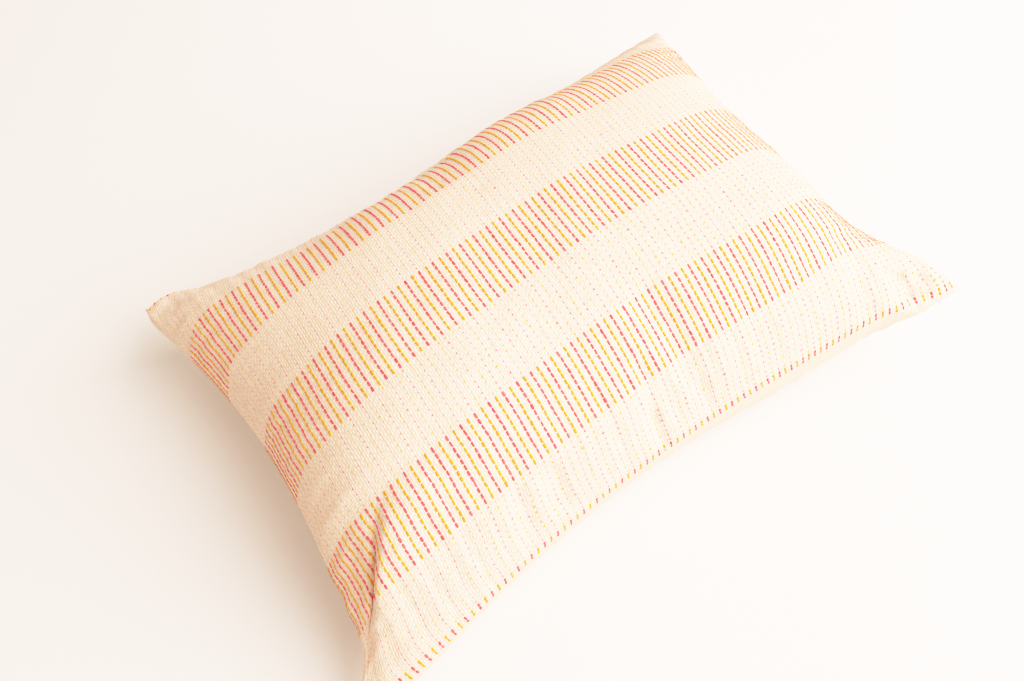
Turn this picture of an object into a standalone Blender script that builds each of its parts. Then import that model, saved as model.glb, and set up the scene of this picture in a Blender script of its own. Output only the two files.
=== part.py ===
"""Lumbar pillow lying on its back: one stuffed cushion with a crown, drawn-in sides, pointed corners
and a knife-edge seam all round. Metres, +Z up, +X along the long side and +Y away from the viewer.
The origin is under the middle of the cushion, on the surface that it rests on.

Every point of a panel has two panel coordinates, s and t. s runs from -1 at the left seam to 1 at
the right seam, and t from -1 at the near seam to 1 at the far seam."""
from collections import namedtuple

import bmesh
import bpy
import numpy as np

# Driving dimensions
TIP_SPAN_X = 0.489        # from corner point to corner point along the long side
TIP_SPAN_Y = 0.342        # from corner point to corner point along the short side
SEAM_HEIGHT = 0.058       # the seam at the middle of a side, above the surface
CROWN = 0.090             # rise of the front panel above the seam
UNDERSIDE_FALL = 0.076    # how far the back panel would hang below the seam with nothing under it
SIDE_BULGE = 0.010        # the back panel swells past the two long seams by this much

# How far each side is drawn in at its middle, how that bow dies away towards the corners, and how
# the front panel rises from that side: swell is how wide its flat top is, edge how steep its start
Side = namedtuple("Side", "draw_in bow swell edge")
LEFT = Side(draw_in=0.029, bow=1.02, swell=2.70, edge=0.535)
RIGHT = Side(draw_in=0.044, bow=1.30, swell=1.95, edge=0.420)
NEAR = Side(draw_in=0.030, bow=0.94, swell=1.65, edge=0.585)
FAR = Side(draw_in=0.033, bow=1.00, swell=3.87, edge=0.790)

# Height of each corner's point against the seam, and how fast the seam gets there
Corners = namedtuple("Corners", "near_left near_right far_left far_right")
CORNER_RISE = Corners(near_left=-0.042, near_right=0.009, far_left=0.001, far_right=-0.006)
CORNER_REACH = 2.84

PULL_X = 4.45             # how close to the short seams their drawing-in is felt
PULL_Y = 1.00             # how close to the long seams
LEAN_X = 0.127            # share of the crown that is added at the right seam
LEAN_Y = -0.041           # share of the crown that is added at the far seam

# The back panel's profile: wide and flat, with round sides
BACK_SWELL = 3.0
BACK_EDGE = 0.6
BULGE_BAND = 0.3          # share of the half depth that the side bulge takes up
BULGE_FADE = 4.0          # how the side bulge dies away towards the corners

# Places where the front panel stands higher or lower than its even crown
Swell = namedtuple("Swell", "s t reach_s reach_t rise")
SWELLS = (
    Swell(s=-0.92, t=0.82, reach_s=0.10, reach_t=0.20, rise=0.0015),
    Swell(s=-0.50, t=0.80, reach_s=0.17, reach_t=0.26, rise=-0.0065),
    Swell(s=0.20, t=0.80, reach_s=0.22, reach_t=0.26, rise=0.0055),
    Swell(s=0.93, t=-0.60, reach_s=0.14, reach_t=0.24, rise=-0.0080),
    Swell(s=-0.80, t=-0.45, reach_s=0.16, reach_t=0.24, rise=0.0030),
    Swell(s=-0.90, t=0.25, reach_s=0.16, reach_t=0.30, rise=-0.0020),
    Swell(s=-0.52, t=-0.25, reach_s=0.30, reach_t=0.50, rise=0.0070),
    Swell(s=0.00, t=-0.10, reach_s=0.30, reach_t=0.40, rise=-0.0025),
    Swell(s=0.72, t=-0.48, reach_s=0.20, reach_t=0.26, rise=0.0040),
    Swell(s=0.50, t=-0.62, reach_s=0.20, reach_t=0.26, rise=0.0030),
)
SWELL_HOLD = 8            # how close to the seam the swells are held down

# Main creases of the front panel: a soft trough from one panel place to another
Crease = namedtuple("Crease", "s_from t_from s_to t_to half_width depth")
CREASES = (
    Crease(s_from=-0.73, t_from=-0.40, s_to=-0.93, t_to=-0.77, half_width=0.012, depth=0.011),
    Crease(s_from=-0.43, t_from=-0.78, s_to=-0.44, t_to=-0.99, half_width=0.012, depth=0.004),
    Crease(s_from=-0.31, t_from=-0.80, s_to=-0.34, t_to=-0.97, half_width=0.012, depth=0.003),
    Crease(s_from=0.02, t_from=-0.68, s_to=0.06, t_to=-0.96, half_width=0.012, depth=0.004),
    Crease(s_from=0.13, t_from=-0.42, s_to=0.14, t_to=-0.98, half_width=0.014, depth=0.004),
    Crease(s_from=0.87, t_from=-0.78, s_to=0.84, t_to=-0.99, half_width=0.013, depth=0.005),
    Crease(s_from=-0.96, t_from=0.95, s_to=-0.93, t_to=0.74, half_width=0.013, depth=0.004),
    Crease(s_from=-0.10, t_from=0.52, s_to=-0.06, t_to=0.86, half_width=0.020, depth=0.004),
)
CREASE_FADE = 0.25        # share of a crease's length over which each end fades out

# Grid of each panel, finer towards the seam
CELLS_X = 50
CELLS_Y = 36
SEAM_BIAS = 0.62

CLOTH_COLOUR = (0.90, 0.81, 0.66, 1.0)
CLOTH_ROUGHNESS = 0.9


def by_side(place, low, high, field):
    """The field of the side that each place belongs to: low below zero and high above it."""
    return np.where(place < 0, getattr(low, field), getattr(high, field))


def corner_rise(s, t):
    """How much higher or lower than the seam's middle the seam plane is at s, t."""
    near = np.where(s < 0, CORNER_RISE.near_left, CORNER_RISE.near_right)
    far = np.where(s < 0, CORNER_RISE.far_left, CORNER_RISE.far_right)
    return np.where(t < 0, near, far) * np.abs(s * t) ** CORNER_REACH


def seam_plane(s, t):
    """The place of s, t on the sheet that spans the seam, with its sides drawn in."""
    bow_x = by_side(s, LEFT, RIGHT, "draw_in") * (1 - t ** 2) ** by_side(s, LEFT, RIGHT, "bow")
    bow_y = by_side(t, NEAR, FAR, "draw_in") * (1 - s ** 2) ** by_side(t, NEAR, FAR, "bow")
    x = TIP_SPAN_X / 2 * s - np.sign(s) * bow_x * np.abs(s) ** PULL_X
    y = TIP_SPAN_Y / 2 * t - np.sign(t) * bow_y * np.abs(t) ** PULL_Y
    return x, y, SEAM_HEIGHT + corner_rise(s, t)


def front_panel(s, t):
    """The evenly crowned front panel, without its swells and creases."""
    x, y, z = seam_plane(s, t)
    across = (1 - np.abs(s) ** by_side(s, LEFT, RIGHT, "swell")) ** by_side(s, LEFT, RIGHT, "edge")
    along = (1 - np.abs(t) ** by_side(t, NEAR, FAR, "swell")) ** by_side(t, NEAR, FAR, "edge")
    return x, y, z + CROWN * across * along * (1 + LEAN_X * s + LEAN_Y * t)


def back_panel(s, t):
    """The back panel: round at its sides, and pressed flat where it lies on the surface."""
    x, y, z = seam_plane(s, t)
    fall = (1 - np.abs(s) ** BACK_SWELL) ** BACK_EDGE * (1 - np.abs(t) ** BACK_SWELL) ** BACK_EDGE
    band = np.clip((1 - np.abs(t)) / BULGE_BAND, 0, 1)
    bulge = SIDE_BULGE * np.sin(np.pi * band) * (1 - np.abs(s) ** BULGE_FADE)
    return x, y + np.sign(t) * bulge, np.maximum(z - UNDERSIDE_FALL * fall, 0)


def crease_depth(s, t):
    """How deep the front panel's creases are at s, t. The seam itself isn't creased."""
    depth = np.zeros_like(s)
    scale = np.array([TIP_SPAN_X / 2, TIP_SPAN_Y / 2])
    places = np.stack([s, t], axis=-1) * scale
    for crease in CREASES:
        start = np.array([crease.s_from, crease.t_from]) * scale
        run = np.array([crease.s_to, crease.t_to]) * scale - start
        share = ((places - start) @ run) / (run @ run)
        nearest = start + np.clip(share, 0, 1)[..., None] * run
        gap = np.linalg.norm(places - nearest, axis=-1)
        fade = np.clip(np.minimum(share, 1 - share) / CREASE_FADE, 0, 1)
        depth += crease.depth * np.sin(fade * np.pi / 2) * np.exp(-(gap / crease.half_width) ** 2)
    return np.where(np.maximum(np.abs(s), np.abs(t)) < 1, depth, 0)


def swell_height(s, t):
    """How far the swells lift the front panel at s, t."""
    height = np.zeros_like(s)
    for swell in SWELLS:
        away = ((s - swell.s) / swell.reach_s) ** 2 + ((t - swell.t) / swell.reach_t) ** 2
        height += swell.rise * np.exp(-away)
    return height * np.sqrt((1 - s ** SWELL_HOLD) * (1 - t ** SWELL_HOLD))


def add_panel(mesh, surface):
    """A grid laid on the surface. Returns its vertices with their panel coordinates."""
    made = bmesh.ops.create_grid(mesh, x_segments=CELLS_X, y_segments=CELLS_Y, size=1.0)["verts"]
    flat = np.clip(np.array([vertex.co[:2] for vertex in made]), -1, 1)
    spread = (1 - SEAM_BIAS) * flat + SEAM_BIAS * np.sin(flat * np.pi / 2)
    s, t = spread[:, 0], spread[:, 1]
    for vertex, place in zip(made, np.stack(surface(s, t), axis=-1)):
        vertex.co = place
    return made, s, t


def shape_relief(mesh, vertices, s, t):
    """Lifts the swells and presses in the creases, square to the panel's surface."""
    mesh.normal_update()
    relief = swell_height(s, t) - crease_depth(s, t)
    lifts = [vertex.normal * height for vertex, height in zip(vertices, relief)]
    for vertex, lift in zip(vertices, lifts):
        vertex.co += lift


def cloth_material():
    """Plain cream cotton."""
    material = bpy.data.materials.new("cream_cotton")
    material.use_nodes = True
    shader = material.node_tree.nodes["Principled BSDF"]
    shader.inputs["Base Color"].default_value = CLOTH_COLOUR
    shader.inputs["Roughness"].default_value = CLOTH_ROUGHNESS
    return material


def make_pillow():
    """The two panels joined along the seam, as one filled solid."""
    mesh = bmesh.new()
    vertices, s, t = add_panel(mesh, front_panel)
    shape_relief(mesh, vertices, s, t)
    front_faces = set(mesh.faces)
    add_panel(mesh, back_panel)
    bmesh.ops.reverse_faces(mesh, faces=[face for face in mesh.faces if face not in front_faces])
    bmesh.ops.remove_doubles(mesh, verts=mesh.verts, dist=0.00001)
    data = bpy.data.meshes.new("pillow")
    mesh.to_mesh(data)
    mesh.free()
    data.shade_smooth()
    data.materials.append(cloth_material())
    pillow = bpy.data.objects.new("pillow", data)
    bpy.context.collection.objects.link(pillow)


for leftover in list(bpy.data.objects):
    bpy.data.objects.remove(leftover)
make_pillow()
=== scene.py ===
"""Looks of the lumbar pillow: a cream basket-weave cover with three bands of pink and mustard dashes,
lying on its back on a pale floor. Metres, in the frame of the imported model: +X along the long side,
+Y away from the viewer, +Z up.

Two pairs of panel coordinates are used. s and t are the shape's own: s runs from -1 at the left seam
to 1 at the right seam, and t from -1 at the near seam to 1 at the far seam. u and v are measured along
the cloth itself, as shares from 0 to 1 of the way across the panel and of the way up it."""

import math
from collections import namedtuple

import bpy
import numpy as np
from mathutils import Matrix, Vector


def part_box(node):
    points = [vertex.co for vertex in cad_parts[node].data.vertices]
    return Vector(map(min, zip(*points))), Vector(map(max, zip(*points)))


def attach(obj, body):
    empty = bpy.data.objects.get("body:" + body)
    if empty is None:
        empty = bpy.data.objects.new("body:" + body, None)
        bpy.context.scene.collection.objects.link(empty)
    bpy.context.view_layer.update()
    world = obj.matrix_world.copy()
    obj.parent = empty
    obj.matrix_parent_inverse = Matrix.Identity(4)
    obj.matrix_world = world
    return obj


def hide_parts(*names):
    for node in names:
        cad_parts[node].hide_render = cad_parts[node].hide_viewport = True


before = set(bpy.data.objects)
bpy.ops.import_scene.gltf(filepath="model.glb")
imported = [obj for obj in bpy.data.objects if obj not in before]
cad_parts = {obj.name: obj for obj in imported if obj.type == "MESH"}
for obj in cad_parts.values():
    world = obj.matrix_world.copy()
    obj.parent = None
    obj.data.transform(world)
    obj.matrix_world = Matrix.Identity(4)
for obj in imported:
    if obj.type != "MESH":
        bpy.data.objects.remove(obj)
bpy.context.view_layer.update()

# The cushion's shape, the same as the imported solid's
PILLOW_LOW, PILLOW_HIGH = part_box("pillow")
TIP_SPAN_X = PILLOW_HIGH.x - PILLOW_LOW.x     # from corner point to corner point
TIP_SPAN_Y = PILLOW_HIGH.y - PILLOW_LOW.y
SEAM_HEIGHT = 0.058       # the seam at the middle of a side, above the floor
CROWN = 0.090             # rise of the front panel above the seam
UNDERSIDE_FALL = 0.076    # how far the back panel would hang below the seam with nothing under it

# How far each side is drawn in at its middle, how that bow dies away towards the corners, and how
# the front panel rises from that side: swell is how wide its flat top is, edge how steep its start
Side = namedtuple("Side", "draw_in bow swell edge")
LEFT = Side(draw_in=0.029, bow=1.02, swell=2.70, edge=0.535)
RIGHT = Side(draw_in=0.044, bow=1.30, swell=1.95, edge=0.420)
NEAR = Side(draw_in=0.030, bow=0.94, swell=1.65, edge=0.585)
FAR = Side(draw_in=0.033, bow=1.00, swell=3.87, edge=0.790)

# Height of each corner's point against the seam, and how fast the seam gets there
Corners = namedtuple("Corners", "near_left near_right far_left far_right")
CORNER_RISE = Corners(near_left=-0.042, near_right=0.009, far_left=0.001, far_right=-0.006)
CORNER_REACH = 2.84

PULL_X = 4.45             # how close to the short seams their drawing-in is felt
PULL_Y = 1.00             # how close to the long seams
LEAN_X = 0.127            # share of the crown that is added at the right seam
LEAN_Y = -0.041           # share of the crown that is added at the far seam

# The back panel's profile, and how far it swells past the long seams
BACK_SWELL = 3.0
BACK_EDGE = 0.6
SIDE_BULGE = 0.010        # past the far seam
NEAR_BULGE = 0.0085       # past the near seam's left half
NEAR_RIGHT_BULGE = 0.0140     # past its right half, where the back panel shows in a wider strip
NEAR_RIGHT_FROM = 0.25    # the one goes over into the other at this place s, and this gently
NEAR_RIGHT_BLEND = 0.15
BULGE_BAND = 0.3          # share of the half depth that the bulge takes up
BULGE_FADE = 4.0          # how the bulge dies away towards the corners
NEAR_RIGHT_FADE = 9.0     # and towards the near right one, almost at its point

# Places where the front panel stands higher or lower than its even crown
Swell = namedtuple("Swell", "s t reach_s reach_t rise")
SWELLS = (
    Swell(s=-0.92, t=0.82, reach_s=0.10, reach_t=0.20, rise=0.0015),
    Swell(s=-0.50, t=0.80, reach_s=0.17, reach_t=0.26, rise=-0.0065),
    Swell(s=0.20, t=0.80, reach_s=0.22, reach_t=0.26, rise=0.0055),
    Swell(s=0.93, t=-0.60, reach_s=0.14, reach_t=0.24, rise=-0.0080),
    Swell(s=-0.80, t=-0.45, reach_s=0.16, reach_t=0.24, rise=0.0030),
    Swell(s=-0.90, t=0.25, reach_s=0.16, reach_t=0.30, rise=-0.0020),
    Swell(s=-0.52, t=-0.25, reach_s=0.30, reach_t=0.50, rise=0.0070),
    Swell(s=0.00, t=-0.10, reach_s=0.30, reach_t=0.40, rise=-0.0025),
    Swell(s=0.72, t=-0.48, reach_s=0.20, reach_t=0.26, rise=0.0040),
    Swell(s=0.50, t=-0.62, reach_s=0.20, reach_t=0.26, rise=0.0030),
)
SWELL_HOLD = 8            # how close to the seam the swells are held down

# Places where the seam and the cloth around it are pushed off their even course, in metres
Nudge = namedtuple("Nudge", "s t reach_s reach_t x y z")
NUDGES = (
    Nudge(s=-1.00, t=1.00, reach_s=0.07, reach_t=0.09, x=0.0060, y=-0.0036, z=0.0000),
    Nudge(s=1.00, t=1.00, reach_s=0.12, reach_t=0.12, x=0.0000, y=-0.0025, z=-0.0020),
    Nudge(s=1.00, t=-1.00, reach_s=0.06, reach_t=0.08, x=-0.0035, y=0.0010, z=-0.0005),
    Nudge(s=0.72, t=-1.00, reach_s=0.16, reach_t=0.20, x=0.0000, y=0.0020, z=0.0030),
    Nudge(s=0.85, t=-1.00, reach_s=0.08, reach_t=0.12, x=0.0000, y=-0.0030, z=-0.0010),
    Nudge(s=-1.00, t=-0.93, reach_s=0.15, reach_t=0.10, x=-0.0077, y=0.0047, z=0.0000),
    Nudge(s=1.00, t=0.95, reach_s=0.10, reach_t=0.05, x=0.0030, y=0.0000, z=0.0000),
    Nudge(s=-0.89, t=1.00, reach_s=0.06, reach_t=0.10, x=0.0000, y=0.0038, z=0.0010),
    Nudge(s=-0.69, t=1.00, reach_s=0.09, reach_t=0.30, x=0.0000, y=-0.0026, z=0.0000),
    Nudge(s=-0.24, t=1.00, reach_s=0.11, reach_t=0.35, x=0.0000, y=-0.0036, z=0.0000),
    Nudge(s=0.42, t=1.00, reach_s=0.20, reach_t=0.35, x=0.0000, y=-0.0015, z=0.0000),
    Nudge(s=1.00, t=-0.25, reach_s=0.12, reach_t=0.12, x=0.0028, y=0.0000, z=0.0000),
    Nudge(s=1.00, t=-0.50, reach_s=0.12, reach_t=0.09, x=-0.0014, y=0.0000, z=-0.0018),
    Nudge(s=1.00, t=-0.80, reach_s=0.15, reach_t=0.13, x=0.0000, y=0.0000, z=0.0036),
)

# Notches of the seam that only the cloth right beside them follows
NOTCHES = (
    Nudge(s=-1.00, t=-0.57, reach_s=0.05, reach_t=0.05, x=0.0025, y=-0.0015, z=0.0000),
    Nudge(s=-1.00, t=-0.67, reach_s=0.05, reach_t=0.04, x=0.0020, y=-0.0012, z=0.0000),
    Nudge(s=-1.00, t=-0.74, reach_s=0.08, reach_t=0.09, x=0.0025, y=-0.0015, z=0.0000),
    Nudge(s=-1.00, t=1.00, reach_s=0.025, reach_t=0.030, x=0.0015, y=-0.0010, z=0.0000),
)

# Creases of the front panel: a soft trough from one panel place to another
Crease = namedtuple("Crease", "s_from t_from s_to t_to half_width depth")
CREASES = (
    Crease(s_from=-0.92, t_from=-0.78, s_to=-0.97, t_to=-0.99, half_width=0.010, depth=0.003),
    Crease(s_from=-0.43, t_from=-0.78, s_to=-0.44, t_to=-0.99, half_width=0.007, depth=0.003),
    Crease(s_from=-0.31, t_from=-0.80, s_to=-0.34, t_to=-0.97, half_width=0.010, depth=0.003),
    Crease(s_from=0.03, t_from=-0.68, s_to=-0.01, t_to=-0.94, half_width=0.006, depth=0.003),
    Crease(s_from=-0.01, t_from=-0.88, s_to=-0.01, t_to=-1.00, half_width=0.005, depth=0.003),
    Crease(s_from=0.04, t_from=-0.78, s_to=0.06, t_to=-0.97, half_width=0.008, depth=0.003),
    Crease(s_from=0.13, t_from=-0.42, s_to=0.14, t_to=-0.98, half_width=0.013, depth=0.004),
    Crease(s_from=0.15, t_from=-0.88, s_to=0.16, t_to=-0.99, half_width=0.006, depth=0.002),
    Crease(s_from=0.70, t_from=-0.84, s_to=0.69, t_to=-0.99, half_width=0.007, depth=0.002),
    Crease(s_from=0.76, t_from=-0.60, s_to=0.72, t_to=-0.95, half_width=0.012, depth=0.002),
    Crease(s_from=0.83, t_from=-0.84, s_to=0.79, t_to=-0.99, half_width=0.008, depth=0.003),
    Crease(s_from=0.86, t_from=-0.86, s_to=0.83, t_to=-1.00, half_width=0.006, depth=0.005),
    Crease(s_from=0.93, t_from=-0.78, s_to=0.90, t_to=-0.95, half_width=0.008, depth=0.002),
    Crease(s_from=0.91, t_from=-0.88, s_to=0.87, t_to=-1.00, half_width=0.006, depth=0.003),
    Crease(s_from=-0.96, t_from=0.95, s_to=-0.93, t_to=0.74, half_width=0.010, depth=0.003),
    Crease(s_from=-0.90, t_from=1.00, s_to=-0.91, t_to=0.84, half_width=0.006, depth=0.003),
    Crease(s_from=-0.86, t_from=1.00, s_to=-0.85, t_to=0.86, half_width=0.005, depth=0.002),
    Crease(s_from=-0.81, t_from=1.00, s_to=-0.81, t_to=0.86, half_width=0.005, depth=0.002),
    Crease(s_from=-0.10, t_from=0.52, s_to=-0.06, t_to=0.86, half_width=0.020, depth=0.002),
)
CREASE_FADE = 0.25        # share of a crease's length over which each end fades out

# The large fold at the near left corner, in metres. Right of its line, at several places t, the cloth
# rises in a ridge with a steep left flank, and left of it the cloth dips. The cloth on both sides has
# been pulled over to the line, or away from it where a pull is below zero, and slid up along it
FoldPlace = namedtuple("FoldPlace", "t s rise groove dip pull_left pull_right slide")
FOLD_PLACES = (
    FoldPlace(t=-0.40, s=-0.600, rise=0.0000, groove=0.0000, dip=0.0000, pull_left=0.0000,
              pull_right=0.0000, slide=0.0005),
    FoldPlace(t=-0.50, s=-0.750, rise=0.0000, groove=0.0000, dip=0.0025, pull_left=-0.0015,
              pull_right=0.0015, slide=0.0000),
    FoldPlace(t=-0.60, s=-0.815, rise=0.0055, groove=0.0035, dip=0.0040, pull_left=0.0030,
              pull_right=0.0015, slide=0.0020),
    FoldPlace(t=-0.70, s=-0.880, rise=0.0065, groove=0.0030, dip=0.0000, pull_left=0.0090,
              pull_right=0.0050, slide=0.0025),
    FoldPlace(t=-0.80, s=-0.940, rise=0.0030, groove=0.0000, dip=0.0070, pull_left=-0.0070,
              pull_right=0.0055, slide=0.0025),
    FoldPlace(t=-0.90, s=-1.000, rise=0.0000, groove=0.0000, dip=0.0020, pull_left=-0.0030,
              pull_right=0.0030, slide=0.0020),
    FoldPlace(t=-1.00, s=-1.080, rise=0.0000, groove=0.0000, dip=0.0000, pull_left=0.0000,
              pull_right=0.0000, slide=0.0000),
)
FOLD_STEEP = 0.0070       # width of the ridge's left flank
FOLD_GENTLE = 0.0200      # and of its right flank
FOLD_CREST = 0.0120       # the ridge's crest lies this far right of the line
FOLD_DIP = 0.0200         # the bottom of the dip lies this far left of it
FOLD_DIP_WIDTH = 0.0180
FOLD_REACH_LEFT = 0.035   # how far the pulls and the slide are felt
FOLD_REACH_RIGHT = 0.055
FOLD_REACH_SLIDE = 0.035
FOLD_GROOVE_AT = 0.0010   # the groove lies this far right of the line, at the foot of the ridge
FOLD_GROOVE_WIDTH = 0.0050
FOLD_HOLD = 0.06          # the fold dies away this close to the seam
FOLD_STEP = 0.01          # the line's direction is read this far up and down it
SOFT_REACH = 1.1          # the table's columns are worked out at steps of t from -1.1 to 1.1
SOFT_STEPS = 880
SOFT_WINDOW = 31          # and their bends are rounded over this many steps

# Finer relief that only the visible cover has
SEAM_ROLL = 0.0006        # each panel rolls up beside the seam line by this much
SEAM_ROLL_WIDTH = 0.005
SEAM_ROLL_ROUND = 0.8     # below 1 the roll is fuller than a sine
GATHER_HEIGHT = 0.0007    # ripples that the seam's stitching draws the cloth into
GATHER_REACH = 0.022      # how far from the seam they die away
GATHER_PITCHES = (0.0115, 0.0190, 0.0310)
GATHER_WANDER = 1.5       # how far a ripple strays from its place, as an angle
GATHER_WANDER_PITCH = 5.3     # over how many of its pitches
BACK_SMOOTH = 0.01        # the back's gathers die away this close to the floor
LUMP_HEIGHT = 0.0006      # slow unevenness of the filling under the cloth
LUMP_PITCHES = (0.045, 0.075, 0.110)
LUMP_WAYS = 3             # directions in which the lumps of each pitch run
RELIEF_SEED = 11

# The weave. Lines of yarn run the short way, one every line pitch. Along a line the yarn floats over
# the ground once a row: as a dash in a band, and as a small dot in a plain stripe
LINES = 96
LINES_ACROSS = 96.6       # width of the panel, in line pitches
FIRST_LINE = 0.424        # place of the first line, in line pitches from the left seam
BANDS = 3
BAND_ROWS = 12
PLAIN_ROWS = 12.12        # depth of a plain stripe, in rows of a band
SEAM_ROWS = 3.41          # depth of the strip at each long seam that has the seam dashes
SEAM_DASHES = (1.91, 2.91)    # rows from the near seam to its two dashes
FAR_SEAM_DASHES = (0.45,)     # rows from the far seam to the one dash that shows there
PANEL_ROWS = BANDS * BAND_ROWS + (BANDS + 1) * PLAIN_ROWS + 2 * SEAM_ROWS
EDGE_MARGIN = 0.0015      # share of the panel beside the short seams and the far seam with no yarn

# How the cloth has slipped along the filling, as shares of the panel
SLIP_FAR = 0.0120         # the far seam's lines lie further right
SLIP_SIDES = -0.0080      # the lines beside both short seams lie further left
SLIP_ROWS = -0.0070       # the rows beside both long seams lie nearer
SLIP_ENDS = -0.0020       # the rows draw together towards the short seams

# Places where it has slipped a little more
Slip = namedtuple("Slip", "u v reach_u reach_v across along")
SLIPS = (
    Slip(u=0.00, v=0.00, reach_u=0.27, reach_v=0.32, across=-0.005, along=0.009),
    Slip(u=0.00, v=0.40, reach_u=0.27, reach_v=0.32, across=0.002, along=-0.006),
    Slip(u=0.00, v=0.80, reach_u=0.27, reach_v=0.32, across=-0.002, along=-0.003),
    Slip(u=0.33, v=0.00, reach_u=0.27, reach_v=0.32, across=0.004, along=-0.008),
    Slip(u=0.33, v=0.80, reach_u=0.27, reach_v=0.32, across=-0.001, along=0.007),
    Slip(u=0.67, v=0.80, reach_u=0.27, reach_v=0.32, across=0.000, along=-0.009),
    Slip(u=1.00, v=0.40, reach_u=0.27, reach_v=0.32, across=-0.002, along=0.000),
    Slip(u=0.84, v=0.00, reach_u=0.06, reach_v=0.10, across=0.002, along=-0.006),
    Slip(u=0.98, v=0.00, reach_u=0.07, reach_v=0.10, across=0.018, along=-0.009),
    Slip(u=0.92, v=0.00, reach_u=0.15, reach_v=0.03, across=0.000, along=0.014),
    Slip(u=0.04, v=0.80, reach_u=0.06, reach_v=0.30, across=0.005, along=0.000),
    Slip(u=0.44, v=0.00, reach_u=0.26, reach_v=0.20, across=0.0085, along=0.000),
    Slip(u=0.10, v=0.00, reach_u=0.12, reach_v=0.03, across=0.004, along=0.000),
    Slip(u=0.24, v=0.00, reach_u=0.20, reach_v=0.03, across=-0.0065, along=0.000),
    Slip(u=0.66, v=0.00, reach_u=0.10, reach_v=0.03, across=0.006, along=0.000),
    Slip(u=0.93, v=0.20, reach_u=0.10, reach_v=0.10, across=0.018, along=0.000),
    Slip(u=1.00, v=0.35, reach_u=0.13, reach_v=0.13, across=0.000, along=-0.036),
    Slip(u=1.00, v=0.62, reach_u=0.13, reach_v=0.16, across=0.000, along=-0.030),
    Slip(u=0.75, v=0.76, reach_u=0.30, reach_v=0.13, across=0.000, along=-0.016),
    Slip(u=0.60, v=1.00, reach_u=0.45, reach_v=0.04, across=0.000, along=0.015),
)

# Floats of yarn. length is in rows. uneven is how unlike each other their sizes are, and sink the share
# by which they are smaller at the left seam and at the far seam. Their shades start at shade_from.
# outline gives the fullness of a float at several places along it, from -0.5 to 0.5
Float = namedtuple("Float", "length width height uneven sink shade_from outline")
DASH = Float(length=0.86, width=0.00195, height=0.00050, uneven=0.045, sink=0.0, shade_from=0.0,
             outline=((-0.50, 0.55), (-0.42, 0.88), (0.0, 1.0), (0.42, 0.88), (0.50, 0.55)))
DOT = Float(length=0.44, width=0.00195, height=0.00026, uneven=0.13, sink=0.30, shade_from=1.0,
            outline=((-0.50, 0.40), (0.0, 1.0), (0.50, 0.40)))
YARN_ANGLES = (0, 60, 120, 180, 270)      # corners of a float's section, in degrees
YARN_BELOW = 0.5          # how deep its underside is, as a share of its height
YARN_SUNK = 0.000065      # and how far the whole float has sunk in
WIDTH_UNEVEN = 1.5        # how much more unlike each other their widths and heights are
HEIGHT_UNEVEN = 2.0
STRAY_ACROSS = 0.012      # how far the floats stray from their places, in line pitches
STRAY_ALONG = 0.020       # and in rows
STRAY_LEAN = 0.03         # how far one end lies to the side of the other, in line pitches
YARN_MAP_WIDTH = 0.1      # half a float's width on its UV map, in line pitches

# Fine grids on which the surface is worked out and laid. Both are finer towards the seam, by a bias
SHAPE_CELLS = (420, 320)
SHAPE_BIAS = 0.60
CLOTH_CELLS = (272, 183)
CLOTH_BIAS = 0.30
BAKE_EDGE = 0.01          # the margin round each panel's field of the UV map OFBake

# Weaves. There are so many ribs in a line pitch and so many picks in a row. thread is the colour of its
# raised places and gap the painted shade of its sunken places, and bump is its relief in metres
Weave = namedtuple("Weave", "name thread gap ribs picks bump")
COVER_WEAVE = Weave(name="cream_basket_weave", thread=(0.965, 0.765, 0.635), gap=(0.71, 0.52, 0.405),
                    ribs=3.0, picks=1.0, bump=0.00022)
BACK_WEAVE = Weave(name="cream_plain_weave", thread=(0.92, 0.70, 0.54), gap=(0.79, 0.57, 0.42),
                   ribs=9.0, picks=5.0, bump=0.00008)
RIB_ROUND = 0.65          # below 1 a rib is flatter on top than a sine
RIB_DRIFT = 1.4           # how far the ribs drift, in ribs, and how fast, in turns a line pitch
RIB_DRIFT_SCALE = 0.9
# The dips between flecks and the grooves under the yarn lie low in the relief, so they take the gap's
# painted shade
FLECK_DEPTH = 0.30        # how much lower a rib is between its flecks
FLECK_STRAY = 0.35        # how unevenly the flecks of a rib lie beside the next rib's, in picks
GROOVE_LOW = 0.45         # height at the gap under a line of yarn, and how fast it rises beside it
GROOVE_RISE = 1.5
SLUB_TONE = (0.88, 0.85, 0.82)    # how much darker the thin places of a thread are
SLUB_STRETCH = 0.4        # slubs are drawn out along the ribs
SLUB_RELIEF = 0.8         # against the weave's own relief
WHITE = (1.0, 1.0, 1.0)
MATT_SPECULAR = 0.15

# Yarns: the line that each starts at, and the ends of its range of shades
Yarn = namedtuple("Yarn", "piece material first_line dark light seed")
YARNS = (
    Yarn(piece="pink_yarn", material="coral_pink_yarn", first_line=1, dark=(0.76, 0.077, 0.115),
         light=(0.90, 0.145, 0.177), seed=5),
    Yarn(piece="mustard_yarn", material="mustard_yarn", first_line=0, dark=(0.72, 0.285, 0.008),
         light=(0.86, 0.378, 0.015), seed=6),
)
VEIL_COLOUR = (0.95, 0.75, 0.62)      # of the cream threads that partly cover the dots
VEIL_LEAST = 0.05         # shares of a dot that they cover
VEIL_MOST = 0.35
# Painted shade in the hollows between the yarn's uneven fibres
FIBRE_GAP_SHADE = (0.74, 0.74, 0.74)       # how much darker it is between the fibres
FIBRE_SCALE = (12.0, 3.0, 1.0)        # fibres in a line pitch, and turns of their shade in a row
FIBRE_BUMP = 0.0001

# Camera, at the photograph's angle
CAMERA_AIM = Vector((-0.0351, -0.0134, 0.060))
CAMERA_DISTANCE = 0.6503
CAMERA_ELEVATION = math.radians(60.905)
CAMERA_HEADING = math.radians(31.344)     # from +Y towards +X
CAMERA_ROLL = math.radians(-4.202)
CAMERA_LENS = 32.426

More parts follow.
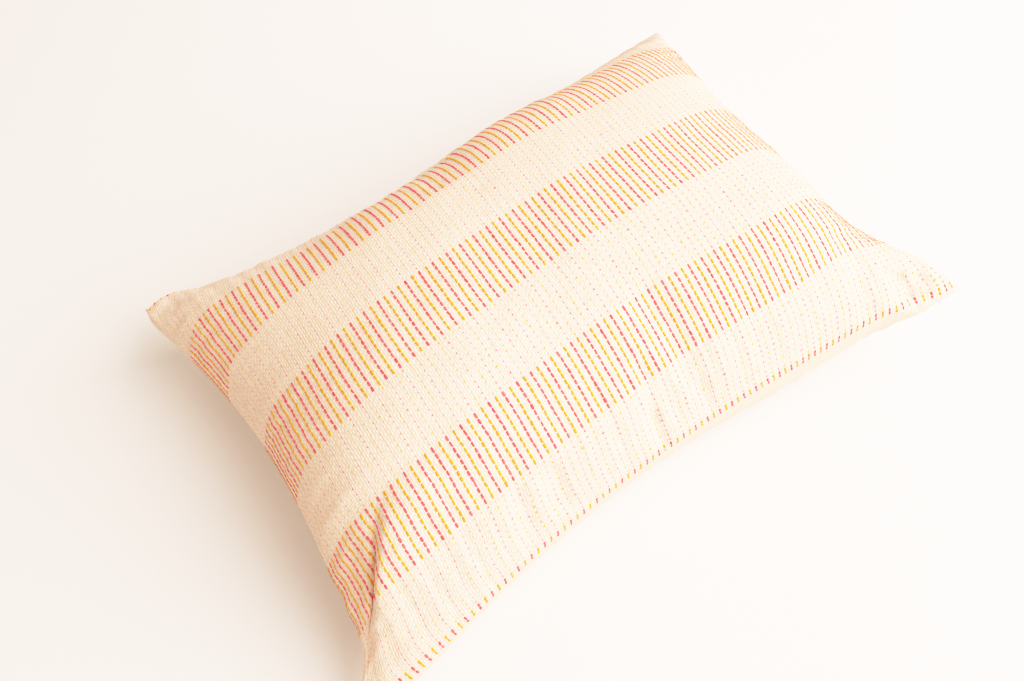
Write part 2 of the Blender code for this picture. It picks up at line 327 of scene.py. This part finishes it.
# Floor and light
FLOOR_SIZE = 8.0
FLOOR_COLOUR = (0.80, 0.80, 0.80)
FLOOR_SHADE = 0.985       # the darkest of its faint clouds
FLOOR_CLOUDS = 3.0        # and about how many there are in a metre
KEY_AZIMUTH = math.radians(130)           # from +Y towards +X
KEY_ELEVATION = math.radians(42)
KEY_DISTANCE = 2.0
KEY_SIZE = 2.0
KEY_POWER = 125.0
KEY_COLOUR = (1.0, 0.814, 0.751)
WORLD_COLOUR = (1.0, 0.790, 0.630)
WORLD_STRENGTH = 0.922

# How the picture's brightest tones soften towards white: brightness of the light, brightness shown.
# Above TONE_WHITE all is white
TONE_WHITE = 4.0
TONE_POINTS = ((0.25, 0.25), (0.50, 0.50), (0.75, 0.697), (1.0, 0.816), (1.4, 0.917), (2.0, 0.975),
               (2.8, 0.995))


def by_side(place, low, high, field):
    """The field of the side that each place belongs to: low below zero and high above it."""
    return np.where(place < 0, getattr(low, field), getattr(high, field))


def corner_rise(s, t):
    """How much higher or lower than the seam's middle the seam plane is at s, t."""
    near = np.where(s < 0, CORNER_RISE.near_left, CORNER_RISE.near_right)
    far = np.where(s < 0, CORNER_RISE.far_left, CORNER_RISE.far_right)
    return np.where(t < 0, near, far) * np.abs(s * t) ** CORNER_REACH


def pushes(s, t, nudges):
    """How far the nudges push the place s, t, along X, Y and Z."""
    total = np.zeros((*s.shape, 3))
    for nudge in nudges:
        share = np.exp(-((s - nudge.s) / nudge.reach_s) ** 2 - ((t - nudge.t) / nudge.reach_t) ** 2)
        total += share[..., None] * np.array([nudge.x, nudge.y, nudge.z])
    return total


def seam_plane(s, t):
    """The place of s, t on the sheet that spans the seam, with its sides drawn in."""
    bow_x = by_side(s, LEFT, RIGHT, "draw_in") * (1 - t ** 2) ** by_side(s, LEFT, RIGHT, "bow")
    bow_y = by_side(t, NEAR, FAR, "draw_in") * (1 - s ** 2) ** by_side(t, NEAR, FAR, "bow")
    x = TIP_SPAN_X / 2 * s - np.sign(s) * bow_x * np.abs(s) ** PULL_X
    y = TIP_SPAN_Y / 2 * t - np.sign(t) * bow_y * np.abs(t) ** PULL_Y
    z = SEAM_HEIGHT + corner_rise(s, t)
    return np.moveaxis(np.stack([x, y, z], axis=-1) + pushes(s, t, NUDGES), -1, 0)


def even_front(s, t):
    """The evenly crowned front panel."""
    x, y, z = seam_plane(s, t)
    across = (1 - np.abs(s) ** by_side(s, LEFT, RIGHT, "swell")) ** by_side(s, LEFT, RIGHT, "edge")
    along = (1 - np.abs(t) ** by_side(t, NEAR, FAR, "swell")) ** by_side(t, NEAR, FAR, "edge")
    return np.stack([x, y, z + CROWN * across * along * (1 + LEAN_X * s + LEAN_Y * t)], axis=-1)


def even_back(s, t):
    """The back panel: round at its sides, and pressed flat where it lies on the floor."""
    x, y, z = seam_plane(s, t)
    fall = (1 - np.abs(s) ** BACK_SWELL) ** BACK_EDGE * (1 - np.abs(t) ** BACK_SWELL) ** BACK_EDGE
    band = np.clip((1 - np.abs(t)) / BULGE_BAND, 0, 1)
    rightness = 0.5 + 0.5 * np.tanh((s - NEAR_RIGHT_FROM) / NEAR_RIGHT_BLEND)
    near_bulge = NEAR_BULGE + (NEAR_RIGHT_BULGE - NEAR_BULGE) * rightness
    fade = np.where((s > 0) & (t < 0), NEAR_RIGHT_FADE, BULGE_FADE)
    bulge = np.where(t < 0, near_bulge, SIDE_BULGE) * np.sin(np.pi * band) * (1 - np.abs(s) ** fade)
    return np.stack([x, y + np.sign(t) * bulge, np.maximum(z - UNDERSIDE_FALL * fall, 0)], axis=-1)


def swell_height(s, t):
    """How far the swells lift the front panel at s, t."""
    height = np.zeros_like(s)
    for swell in SWELLS:
        away = ((s - swell.s) / swell.reach_s) ** 2 + ((t - swell.t) / swell.reach_t) ** 2
        height += swell.rise * np.exp(-away)
    return height * np.sqrt((1 - s ** SWELL_HOLD) * (1 - t ** SWELL_HOLD))


def crease_depth(s, t):
    """How deep the front panel's creases are at s, t. The seam itself isn't creased."""
    depth = np.zeros_like(s)
    scale = np.array([TIP_SPAN_X / 2, TIP_SPAN_Y / 2])
    places = np.stack([s, t], axis=-1) * scale
    for crease in CREASES:
        start = np.array([crease.s_from, crease.t_from]) * scale
        run = np.array([crease.s_to, crease.t_to]) * scale - start
        share = ((places - start) @ run) / (run @ run)
        nearest = start + np.clip(share, 0, 1)[..., None] * run
        gap = np.linalg.norm(places - nearest, axis=-1)
        fade = np.clip(np.minimum(share, 1 - share) / CREASE_FADE, 0, 1)
        depth += crease.depth * np.sin(fade * np.pi / 2) * np.exp(-(gap / crease.half_width) ** 2)
    return np.where(np.maximum(np.abs(s), np.abs(t)) < 1, depth, 0)


def fold_column(field, t):
    """A column of the fold's table at the places t: straight between its rows but with rounded bends."""
    steps = np.linspace(-SOFT_REACH, SOFT_REACH, SOFT_STEPS + 1)
    rows = sorted(FOLD_PLACES, key=lambda place: place.t)
    straight = np.interp(steps, [row.t for row in rows], [getattr(row, field) for row in rows])
    window = np.hanning(SOFT_WINDOW)
    padded = np.pad(straight, SOFT_WINDOW // 2, mode="edge")
    rounded = np.convolve(padded, window / window.sum(), mode="valid")
    return np.interp(t, steps, rounded)


def fold_moves(s, t):
    """Where the large fold moves the cloth at s, t: along s, along t and up, in metres."""
    at = FoldPlace(*[fold_column(field, t) for field in FoldPlace._fields])
    lean = (fold_column("s", t + FOLD_STEP) - fold_column("s", t - FOLD_STEP)) * TIP_SPAN_X
    ahead = 2 * FOLD_STEP * TIP_SPAN_Y
    run = np.hypot(lean, ahead)
    to_s = ahead / run
    to_t = -lean / run
    gap = (s - at.s) * TIP_SPAN_X / 2 * to_s
    from_crest = gap - FOLD_CREST
    steep = np.exp(-(from_crest / FOLD_STEEP) ** 2)
    gentle = 1 / np.cosh(from_crest / FOLD_GENTLE)
    ridge = np.where(from_crest < 0, steep, gentle)
    groove = np.exp(-((gap - FOLD_GROOVE_AT) / FOLD_GROOVE_WIDTH) ** 2)
    dip = np.exp(-((gap + FOLD_DIP) / FOLD_DIP_WIDTH) ** 2)
    right = 0.5 + 0.5 * np.tanh(gap / FOLD_STEEP)
    pull_left = at.pull_left * np.exp(np.minimum(gap, 0) / FOLD_REACH_LEFT) * (1 - right)
    pull_right = at.pull_right * np.exp(-np.maximum(gap, 0) / FOLD_REACH_RIGHT) * right
    pull = pull_left - pull_right
    slide = at.slide * np.exp(-(gap / FOLD_REACH_SLIDE) ** 2)
    up = at.rise * ridge - at.groove * groove - at.dip * dip
    hold = np.clip((1 - np.maximum(np.abs(s), np.abs(t))) / FOLD_HOLD, 0, 1)
    return pull * to_s * hold, (pull * to_t + slide) * hold, up * hold


def frame_of(points):
    """Unit vectors along a grid's rows, along its columns and square to it."""
    across, along = [np.gradient(points, axis=axis) for axis in (1, 0)]
    across, along = [way / np.linalg.norm(way, axis=-1, keepdims=True) for way in (across, along)]
    return across, along, normals_of(points)


def normals_of(points):
    """Unit normals of a grid of points whose rows run along +X and whose columns run along +Y."""
    normal = np.cross(np.gradient(points, axis=1), np.gradient(points, axis=0))
    return normal / np.linalg.norm(normal, axis=-1, keepdims=True)


def ripples(along, pitches, random):
    """An uneven ripple along a line: waves of several pitches with seeded phases, between -1 and 1."""
    total = np.zeros_like(along)
    for pitch in pitches:
        slow = along / (pitch * GATHER_WANDER_PITCH) * 2 * np.pi
        wander = GATHER_WANDER * np.sin(slow + random.uniform(0, 2 * np.pi))
        total += np.sin(along / pitch * 2 * np.pi + random.uniform(0, 2 * np.pi) + wander)
    return total / len(pitches)


def seam_relief(s, t, random):
    """Roll of the cloth beside the seam, and the gathers that run in from it."""
    depth_x = (1 - np.abs(s)) * TIP_SPAN_X / 2
    depth_y = (1 - np.abs(t)) * TIP_SPAN_Y / 2
    depth = np.minimum(depth_x, depth_y)
    roll = SEAM_ROLL * np.sin(np.pi * np.clip(depth / SEAM_ROLL_WIDTH, 0, 1)) ** SEAM_ROLL_ROUND
    along_x = ripples(s * TIP_SPAN_X / 2, GATHER_PITCHES, random)
    along_y = ripples(t * TIP_SPAN_Y / 2, GATHER_PITCHES, random)
    gather_y = along_x * depth_y / GATHER_REACH * np.exp(1 - depth_y / GATHER_REACH)
    gather_x = along_y * depth_x / GATHER_REACH * np.exp(1 - depth_x / GATHER_REACH)
    return roll + GATHER_HEIGHT * (gather_x + gather_y)


def lumps(s, t, random):
    """Slow unevenness of the filling."""
    total = np.zeros_like(s)
    for pitch in LUMP_PITCHES:
        for turn in np.linspace(0, np.pi, LUMP_WAYS + 1)[:-1] + random.uniform(0, 1):
            along = s * TIP_SPAN_X / 2 * np.cos(turn) + t * TIP_SPAN_Y / 2 * np.sin(turn)
            total += np.sin(along / pitch * 2 * np.pi + random.uniform(0, 2 * np.pi))
    return LUMP_HEIGHT * total / len(LUMP_PITCHES) * (1 - s ** 2) * (1 - t ** 2)


def toward_seams(count, bias):
    """count + 1 places from -1 to 1 that lie closer together near both ends."""
    even = np.linspace(-1, 1, count + 1)
    return (1 - bias) * even + bias * np.sin(even * np.pi / 2)


def shares_along(points, axis):
    """How far along the cloth each point of a grid lies, as a share of its row's or column's length."""
    steps = np.linalg.norm(np.diff(points, axis=axis), axis=-1)
    reached = np.cumsum(steps, axis=axis)
    start = np.zeros_like(np.take(reached, [0], axis=axis))
    reached = np.concatenate([start, reached], axis=axis)
    return reached / np.take(reached, [-1], axis=axis)


def lay_cloth(measured, shaped, us, vs):
    """The shaped surface at the places us, vs of the cloth, whose threads lie even on the measured one.
    The result has a row for each v and a column for each u."""
    across = shares_along(measured, 1)
    along = shares_along(measured, 0)
    channels = np.concatenate([shaped, along[..., None]], axis=-1)
    rows = [[np.interp(us, share, row[:, c]) for c in range(4)] for share, row in zip(across, channels)]
    rows = np.array(rows)
    laid = np.empty((len(vs), len(us), 3))
    for column in range(len(us)):
        for c in range(3):
            laid[:, column, c] = np.interp(vs, rows[:, 3, column], rows[:, c, column])
    return laid


def make_surfaces():
    """The laid front and back panels as grids of points, with the places of their lines."""
    random = np.random.default_rng(RELIEF_SEED)
    s, t = np.meshgrid(*[toward_seams(cells, SHAPE_BIAS) for cells in SHAPE_CELLS])
    rim = np.maximum(np.abs(s), np.abs(t)) >= 1
    notches = pushes(s, t, NOTCHES)
    us, vs = [(toward_seams(cells, CLOTH_BIAS) + 1) / 2 for cells in CLOTH_CELLS]

    even = even_front(s, t)
    measured = even + normals_of(even) * swell_height(s, t)[..., None]
    relief = seam_relief(s, t, random) + lumps(s, t, random) - crease_depth(s, t)
    front = measured + normals_of(measured) * np.where(rim, 0, relief)[..., None]
    for direction, move in zip(frame_of(measured), fold_moves(s, t)):
        front = front + direction * move[..., None]

    even = even_back(s, t)
    relief = seam_relief(s, t, random) * np.clip(even[..., 2] / BACK_SMOOTH, 0, 1)
    back = even - normals_of(even) * np.where(rim, 0, relief)[..., None]
    return lay_cloth(measured, front + notches, us, vs), lay_cloth(even, back + notches, us, vs), us, vs


def slip(u, v):
    """How far the cloth at u, v has slipped across and along the panel."""
    from_middle_u = 2 * u - 1
    from_middle_v = 2 * v - 1
    across = SLIP_FAR * v ** 3 + SLIP_SIDES * from_middle_u ** 2
    along = SLIP_ENDS * from_middle_u ** 2 * from_middle_v + SLIP_ROWS * from_middle_v ** 2
    for place in SLIPS:
        share = np.exp(-((u - place.u) / place.reach_u) ** 2 - ((v - place.v) / place.reach_v) ** 2)
        across = across + place.across * share
        along = along + place.along * share
    return across, along


def grid_faces(numbers):
    """Quads of a grid, with numbers giving each grid place its vertex."""
    corners = numbers[:-1, :-1], numbers[:-1, 1:], numbers[1:, 1:], numbers[1:, :-1]
    return np.stack([corner.ravel() for corner in corners], axis=-1)


def mesh_object(name, vertices, faces, materials):
    """A smooth mesh object."""
    data = bpy.data.meshes.new(name)
    data.from_pydata(vertices.tolist(), [], faces)
    for material in materials:
        data.materials.append(material)
    data.shade_smooth()
    made = bpy.data.objects.new(name, data)
    bpy.context.scene.collection.objects.link(made)
    return made


def add_uv(piece, name, corner_places):
    """A UV map with a place for each face corner."""
    layer = piece.data.uv_layers.new(name=name)
    layer.data.foreach_set("uv", corner_places.astype(np.float32).ravel())


def make_cushion(front, back, us, vs, materials):
    """The closed cover: the front and back grids, which share the seam's vertices. On its UV map OFBake
    the front takes the upper half and the back the lower half."""
    rows, columns = front.shape[:2]
    count = rows * columns
    front_numbers = np.arange(count).reshape(rows, columns)
    back_numbers = front_numbers.copy()
    inner = np.arange((rows - 2) * (columns - 2)).reshape(rows - 2, columns - 2)
    back_numbers[1:-1, 1:-1] = count + inner
    vertices = np.concatenate([front.reshape(-1, 3), back[1:-1, 1:-1].reshape(-1, 3)])
    front_faces = grid_faces(front_numbers)
    back_faces = grid_faces(back_numbers)[:, ::-1]
    faces = np.concatenate([front_faces, back_faces])
    cushion = mesh_object("cushion", vertices, faces.tolist(), materials)
    side = np.repeat([0, 1], [len(front_faces), len(back_faces)])
    cushion.data.polygons.foreach_set("material_index", side.astype(np.int32))

    u, v = np.meshgrid(us, vs)
    slip_u, slip_v = slip(u, v)
    flat = np.stack([u, v], axis=-1).reshape(-1, 2)
    cloth = np.stack([(u - slip_u) * LINES_ACROSS, (v - slip_v) * PANEL_ROWS], axis=-1).reshape(-1, 2)
    corner_places = np.concatenate([front_faces, front_faces[:, ::-1]]).ravel()
    half = np.where(np.repeat(side, 4)[:, None] == 0, [0, 0.5], [0, 0])
    field = np.array([1, 0.5]) - 2 * BAKE_EDGE
    add_uv(cushion, "OFBake", flat[corner_places] * field + BAKE_EDGE + half)
    add_uv(cushion, "cloth", cloth[corner_places])
    return cushion


def grid_sampler(grid, us, vs):
    """A function that gives the grid's value at any u, v, straight between its points."""
    def sample(u, v):
        column = np.clip(np.searchsorted(us, u, side="right") - 1, 0, len(us) - 2)
        row = np.clip(np.searchsorted(vs, v, side="right") - 1, 0, len(vs) - 2)
        share_u = ((u - us[column]) / (us[column + 1] - us[column]))[..., None]
        share_v = ((v - vs[row]) / (vs[row + 1] - vs[row]))[..., None]
        low = grid[row, column] * (1 - share_u) + grid[row, column + 1] * share_u
        high = grid[row + 1, column] * (1 - share_u) + grid[row + 1, column + 1] * share_u
        return low * (1 - share_v) + high * share_v
    return sample


def dash_rows():
    """The row of every dash along a line, from the near seam."""
    rows = list(SEAM_DASHES)
    for band in range(BANDS):
        start = SEAM_ROWS + (band + 1) * PLAIN_ROWS + band * BAND_ROWS
        rows += [start + dash + 0.5 for dash in range(BAND_ROWS)]
    return rows + [PANEL_ROWS - row for row in FAR_SEAM_DASHES]


def dot_rows():
    """The row of every dot along a line, from the near seam."""
    rows = []
    for stripe in range(BANDS + 1):
        start = SEAM_ROWS + stripe * (PLAIN_ROWS + BAND_ROWS)
        rows += [start + (dot + 0.5) * PLAIN_ROWS / BAND_ROWS for dot in range(BAND_ROWS)]
    return rows


def place_floats(lines, rows, kind, random):
    """For one float at each line and row: the cloth places of its stations, its width and its height. The
    cloth's slip carries the stations with it. A float whose middle would lie past a seam is left out, and
    one that reaches past it ends there."""
    line, row = [grid.ravel() for grid in np.meshgrid(lines, rows, indexing="ij")]
    u = (line + FIRST_LINE) / LINES_ACROSS
    v = row / PANEL_ROWS
    slip_u, slip_v = slip(u, v)
    laid_u = u + slip_u
    laid_v = v + slip_v
    shown = (laid_u > EDGE_MARGIN) & (laid_u < 1 - EDGE_MARGIN) & (laid_v < 1 - EDGE_MARGIN)
    u = u[shown]
    v = v[shown]
    count = len(u)
    size = 1 - kind.sink * ((1 - laid_u[shown]) ** 2 + laid_v[shown] ** 2)
    length = kind.length * np.exp(random.normal(0, kind.uneven, count)) * size
    width = kind.width * np.exp(random.normal(0, kind.uneven * WIDTH_UNEVEN, count)) * size
    height = kind.height * np.exp(random.normal(0, kind.uneven * HEIGHT_UNEVEN, count))
    u = u + random.normal(0, STRAY_ACROSS, count) / LINES_ACROSS
    v = v + random.normal(0, STRAY_ALONG, count) / PANEL_ROWS
    lean = random.normal(0, STRAY_LEAN, count) / LINES_ACROSS
    along = np.array(kind.outline)[:, 0]
    station_u = u[:, None] + along * lean[:, None]
    station_v = v[:, None] + along * length[:, None] / PANEL_ROWS
    slip_u, slip_v = slip(station_u, station_v)
    return np.clip(station_u + slip_u, 0, 1), np.clip(station_v + slip_v, 0, 1), width, height


def yarn_floats(lines, rows, kind, surface, random):
    """Vertices, faces, cloth places and shades of one float of yarn at each line and row."""
    station_u, station_v, width, height = place_floats(lines, rows, kind, random)
    point, normal, across = [sample(station_u, station_v)[:, :, None] for sample in surface]
    normal = normal / np.linalg.norm(normal, axis=-1, keepdims=True)
    across = across / np.linalg.norm(across, axis=-1, keepdims=True)
    fullness = np.array(kind.outline)[:, 1]
    half = (width[:, None] / 2 * fullness)[:, :, None, None]
    lift = (height[:, None] * fullness)[:, :, None, None]
    angles = np.radians(YARN_ANGLES)
    aside = np.cos(angles)
    up = np.where(np.sin(angles) > 0, np.sin(angles), np.sin(angles) * YARN_BELOW)
    vertices = point + across * half * aside[:, None] + normal * (lift * up[:, None] - YARN_SUNK)

    numbers = np.arange(vertices[..., 0].size).reshape(vertices.shape[:3])
    turned = np.roll(numbers, -1, axis=2)
    sides = np.stack([numbers[:, :-1], turned[:, :-1], turned[:, 1:], numbers[:, 1:]], axis=-1)
    ends = np.concatenate([numbers[:, 0, ::-1], numbers[:, -1]])
    faces = sides.reshape(-1, 4).tolist() + ends.tolist()
    map_u = station_u[:, :, None] + aside * YARN_MAP_WIDTH / LINES_ACROSS
    map_v = np.broadcast_to(station_v[:, :, None], numbers.shape)
    places = np.stack([map_u, map_v], axis=-1)
    shade = random.uniform(kind.shade_from, kind.shade_from + 1, len(width))
    return vertices.reshape(-1, 3), faces, places.reshape(-1, 2), np.repeat(shade, numbers[0].size)


def make_yarn(name, first_line, surface, material, random):
    """Every second line of yarn, with its dashes and dots, as one mesh."""
    lines = np.arange(first_line, LINES, 2)
    dashes = yarn_floats(lines, dash_rows(), DASH, surface, random)
    dots = yarn_floats(lines, dot_rows(), DOT, surface, random)
    vertices, places, shades = [np.concatenate([dashes[part], dots[part]]) for part in (0, 2, 3)]
    start = len(dashes[0])
    faces = dashes[1] + [[number + start for number in face] for face in dots[1]]
    yarn = mesh_object(name, vertices, faces, [material])
    corner_places = places[np.concatenate(faces)]
    add_uv(yarn, "OFBake", corner_places * (1 - 2 * BAKE_EDGE) + BAKE_EDGE)
    add_uv(yarn, "cloth", corner_places * [LINES_ACROSS, PANEL_ROWS])
    shade = yarn.data.attributes.new("shade", "FLOAT", "POINT")
    shade.data.foreach_set("value", shades.astype(np.float32))
    return yarn


def add(tree, kind, inputs, **settings):
    """A shader node with its inputs linked or set. Returns its first output."""
    made = tree.nodes.new(kind)
    for name, value in settings.items():
        setattr(made, name, value)
    for socket, value in inputs.items():
        if isinstance(value, bpy.types.NodeSocket):
            tree.links.new(value, made.inputs[socket])
        else:
            made.inputs[socket].default_value = value
    return made.outputs[0]


def calc(tree, operation, *values):
    """A Math node."""
    return add(tree, "ShaderNodeMath", dict(enumerate(values)), operation=operation)


def mix(tree, share, first, second, blend_type):
    """A Mix node for colours."""
    mixed = add(tree, "ShaderNodeMix", {0: share, 6: first, 7: second}, data_type="RGBA",
                blend_type=blend_type)
    return mixed.node.outputs[2]


def ramp(tree, factor, low, high, low_at=0.0, high_at=1.0):
    """An even change of colour from low to high."""
    colour = add(tree, "ShaderNodeValToRGB", {0: factor})
    stops = colour.node.color_ramp.elements
    stops[0].position, stops[0].color = low_at, (*low, 1.0)
    stops[1].position, stops[1].color = high_at, (*high, 1.0)
    return colour


def new_material(name, roughness, sheen):
    """A material with its Principled shader. Returns the material, its tree and the shader."""
    material = bpy.data.materials.new(name)
    material.use_nodes = True
    tree = material.node_tree
    shader = tree.nodes["Principled BSDF"]
    shader.inputs["Roughness"].default_value = roughness
    shader.inputs["Specular IOR Level"].default_value = MATT_SPECULAR
    shader.inputs["Sheen Weight"].default_value = sheen
    return material, tree, shader


def thread_noise(tree, cloth, scale, detail):
    """Noise that is drawn out along the cloth's threads."""
    stretched = add(tree, "ShaderNodeMapping", {"Vector": cloth, "Scale": scale})
    return add(tree, "ShaderNodeTexNoise", {"Vector": stretched, "Scale": 1.0, "Detail": detail})


def weave_height(tree, cloth, ribs, picks):
    """Relief of the weave from 0 in its gaps to 1 on its threads, over the cloth's UV map. Each rib is a
    row of raised flecks, and its flecks lie beside the gaps of the next rib, though not evenly. Under
    each line of yarn the gap between two ribs is deeper."""
    parts = tree.nodes.new("ShaderNodeSeparateXYZ")
    tree.links.new(cloth, parts.inputs[0])
    drift = add(tree, "ShaderNodeTexNoise", {"Vector": cloth, "Scale": RIB_DRIFT_SCALE, "Detail": 2.0})
    drift = calc(tree, "MULTIPLY", calc(tree, "SUBTRACT", drift, 0.5), RIB_DRIFT)
    line_place = calc(tree, "SUBTRACT", parts.outputs[0], FIRST_LINE)
    rib_place = calc(tree, "ADD", calc(tree, "MULTIPLY", line_place, ribs), drift)
    rib = calc(tree, "FLOOR", rib_place)
    stray = add(tree, "ShaderNodeTexWhiteNoise", {"W": rib}, noise_dimensions="1D")
    stray = calc(tree, "ADD", calc(tree, "MULTIPLY", stray, FLECK_STRAY), drift)
    turn = calc(tree, "ADD", calc(tree, "MULTIPLY", rib, 0.5), stray)
    pick_place = calc(tree, "ADD", calc(tree, "MULTIPLY", parts.outputs[1], picks), turn)
    across = calc(tree, "ABSOLUTE", calc(tree, "SINE", calc(tree, "MULTIPLY", rib_place, math.pi)))
    along = calc(tree, "COSINE", calc(tree, "MULTIPLY", pick_place, 2 * math.pi))
    fleck = calc(tree, "ADD", calc(tree, "MULTIPLY", along, FLECK_DEPTH), 1 - FLECK_DEPTH)
    beside = calc(tree, "ABSOLUTE", calc(tree, "SINE", calc(tree, "MULTIPLY", line_place, math.pi)))
    groove = calc(tree, "ADD", calc(tree, "MULTIPLY", beside, GROOVE_RISE), GROOVE_LOW)
    fleck = calc(tree, "MULTIPLY", fleck, calc(tree, "MINIMUM", groove, 1.0))
    return calc(tree, "MULTIPLY", calc(tree, "POWER", across, RIB_ROUND), fleck)


def cloth_material(weave):
    """Cream cotton whose weave, slubs and gaps follow the cloth's threads, with painted shade in the
    weave's gaps.
    """
    material, tree, shader = new_material(weave.name, roughness=0.92, sheen=0.12)
    cloth = add(tree, "ShaderNodeUVMap", {}, uv_map="cloth")
    height = weave_height(tree, cloth, weave.ribs, weave.picks)
    slubs = thread_noise(tree, cloth, (weave.ribs, SLUB_STRETCH, 1.0), detail=3.0)
    # The weave's relief also sets its colour: cream on the raised threads, painted shade in the gaps,
    # grooves and dips
    weave_with_gap_shade = ramp(tree, height, weave.gap, weave.thread, low_at=0.05, high_at=0.95)
    tone = ramp(tree, slubs, SLUB_TONE, WHITE, low_at=0.32, high_at=0.56)
    tree.links.new(mix(tree, 1.0, weave_with_gap_shade, tone, "MULTIPLY"), shader.inputs["Base Color"])
    relief = calc(tree, "ADD", height, calc(tree, "MULTIPLY", slubs, SLUB_RELIEF))
    bumped = add(tree, "ShaderNodeBump", {"Height": relief, "Strength": 1.0, "Distance": weave.bump})
    tree.links.new(bumped, shader.inputs["Normal"])
    return material


def yarn_material(name, dark, light):
    """Matt dyed yarn: each float has its own shade, with painted shade between the fine fibres along it.
    The dots, whose shades are above 1, are paler, as cream threads partly cover them."""
    material, tree, shader = new_material(name, roughness=0.85, sheen=0.08)
    shade = tree.nodes.new("ShaderNodeAttribute")
    shade.attribute_name = "shade"
    shade = shade.outputs["Fac"]
    dyed = ramp(tree, shade, dark, light)
    veil = calc(tree, "MULTIPLY_ADD", shade, VEIL_MOST - VEIL_LEAST, 2 * VEIL_LEAST - VEIL_MOST)
    veil = calc(tree, "MULTIPLY", veil, calc(tree, "GREATER_THAN", shade, 1.0))
    veiled = mix(tree, veil, dyed, (*VEIL_COLOUR, 1.0), "MIX")
    cloth = add(tree, "ShaderNodeUVMap", {}, uv_map="cloth")
    fibres = thread_noise(tree, cloth, FIBRE_SCALE, detail=2.0)
    # Painted shade between the fibres, darkest where their bump is lowest
    tone = ramp(tree, fibres, FIBRE_GAP_SHADE, WHITE, low_at=0.36, high_at=0.58)
    tree.links.new(mix(tree, 1.0, veiled, tone, "MULTIPLY"), shader.inputs["Base Color"])
    bumped = add(tree, "ShaderNodeBump", {"Height": fibres, "Strength": 0.6, "Distance": FIBRE_BUMP})
    tree.links.new(bumped, shader.inputs["Normal"])
    return material


def direction(azimuth, elevation):
    """The unit vector at an azimuth from +Y towards +X and an elevation above the floor."""
    level = math.cos(elevation)
    return Vector((math.sin(azimuth) * level, math.cos(azimuth) * level, math.sin(elevation)))


def make_camera():
    """The camera, turned about its aim to the photograph's angle."""
    forward = direction(CAMERA_HEADING, -CAMERA_ELEVATION)
    level_right = forward.cross(Vector((0, 0, 1))).normalized()
    level_up = level_right.cross(forward)
    right = level_right * math.cos(CAMERA_ROLL) + level_up * math.sin(CAMERA_ROLL)
    up = right.cross(forward)
    data = bpy.data.cameras.new("camera")
    data.lens = CAMERA_LENS
    camera = bpy.data.objects.new("camera", data)
    turn = Matrix((right, up, -forward)).transposed().to_4x4()
    camera.matrix_world = Matrix.Translation(CAMERA_AIM - forward * CAMERA_DISTANCE) @ turn
    bpy.context.scene.collection.objects.link(camera)
    bpy.context.scene.camera = camera


def make_floor():
    """A plain pale floor."""
    half = FLOOR_SIZE / 2
    material, tree, shader = new_material("floor", roughness=0.9, sheen=0.0)
    place = add(tree, "ShaderNodeTexCoord", {}).node.outputs["Object"]
    clouds = add(tree, "ShaderNodeTexNoise", {"Vector": place, "Scale": FLOOR_CLOUDS})
    shaded = [channel * FLOOR_SHADE for channel in FLOOR_COLOUR]
    colour = ramp(tree, clouds, shaded, FLOOR_COLOUR, low_at=0.3, high_at=0.7)
    tree.links.new(colour, shader.inputs["Base Color"])
    corners = np.array([(-half, -half, 0), (half, -half, 0), (half, half, 0), (-half, half, 0)])
    floor = mesh_object("floor", corners, [[0, 1, 2, 3]], [material])


def make_light():
    """Soft daylight from the right, with a bright room around it."""
    toward = direction(KEY_AZIMUTH, KEY_ELEVATION)
    data = bpy.data.lights.new("key", "AREA")
    data.size = KEY_SIZE
    data.energy = KEY_POWER
    data.color = KEY_COLOUR
    key = bpy.data.objects.new("key", data)
    key.location = toward * KEY_DISTANCE
    key.rotation_euler = toward.to_track_quat("Z", "Y").to_euler()
    bpy.context.scene.collection.objects.link(key)
    world = bpy.data.worlds.new("room")
    world.use_nodes = True
    background = world.node_tree.nodes["Background"]
    background.inputs["Color"].default_value = (*WORLD_COLOUR, 1.0)
    background.inputs["Strength"].default_value = WORLD_STRENGTH
    bpy.context.scene.world = world


def soften_highlights():
    """A tone curve that is straight up to its middle, and then bends towards white."""
    view = bpy.context.scene.view_settings
    view.view_transform = "Standard"
    view.use_curve_mapping = True
    mapping = view.curve_mapping
    mapping.white_level = (TONE_WHITE, TONE_WHITE, TONE_WHITE)
    points = mapping.curves[3].points
    for light, shown in TONE_POINTS:
        points.new(light / TONE_WHITE, shown)
    points[len(points) - 1].location = (1.0, 1.0)
    mapping.update()


make_camera()
make_light()
soften_highlights()
make_floor()

front, back, us, vs = make_surfaces()
cover = cloth_material(COVER_WEAVE)
backing = cloth_material(BACK_WEAVE)
cushion = make_cushion(front, back, us, vs, [cover, backing])
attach(cushion, "root")
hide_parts("pillow")

surface = [grid_sampler(grid, us, vs) for grid in (front, normals_of(front), np.gradient(front, axis=1))]
for yarn_name, material_name, first_line, dark, light, seed in YARNS:
    material = yarn_material(material_name, dark, light)
    yarn = make_yarn(yarn_name, first_line, surface, material, np.random.default_rng(seed))
    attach(yarn, "root")
